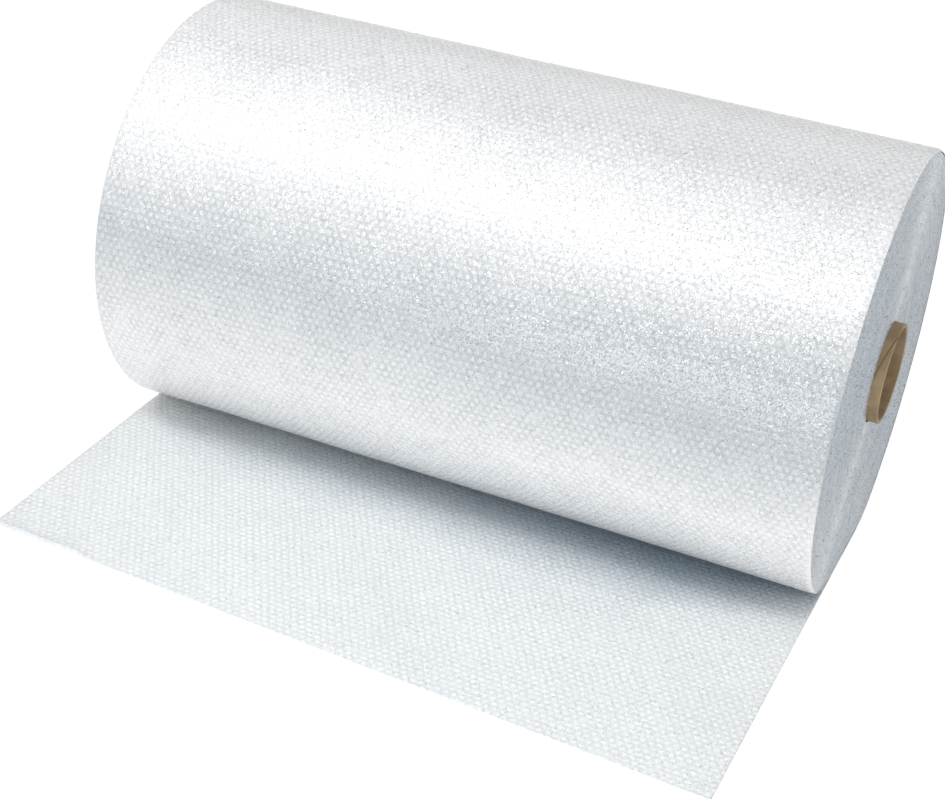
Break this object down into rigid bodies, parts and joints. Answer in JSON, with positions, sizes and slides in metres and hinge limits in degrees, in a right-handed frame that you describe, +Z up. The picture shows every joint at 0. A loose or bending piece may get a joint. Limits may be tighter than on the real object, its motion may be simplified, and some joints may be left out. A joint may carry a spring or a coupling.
{
  "type": "bubble wrap roll",
  "caption": "Roll of bubble cushioning film wound on a cardboard tube, lying on its side with its loose end laid out flat in front.",
  "frame": {"origin": "on the floor under the middle of the tube, half way along the roll's width", "axes": "+X along the tube, +Z up, and the loose end of the film points to -Y"},
  "size_m": [1.026, 0.8859, 0.568],
  "materials": {
    "bubble_film": "clear low density polyethylene film with air bubbles, pale blue white in the roll",
    "cardboard": "spiral wound kraft board, matt"
  },
  "bodies": {
    "root": {"bubble_wrap": "bubble_film", "cardboard_tube": "cardboard"}
  },
  "joints": []
}
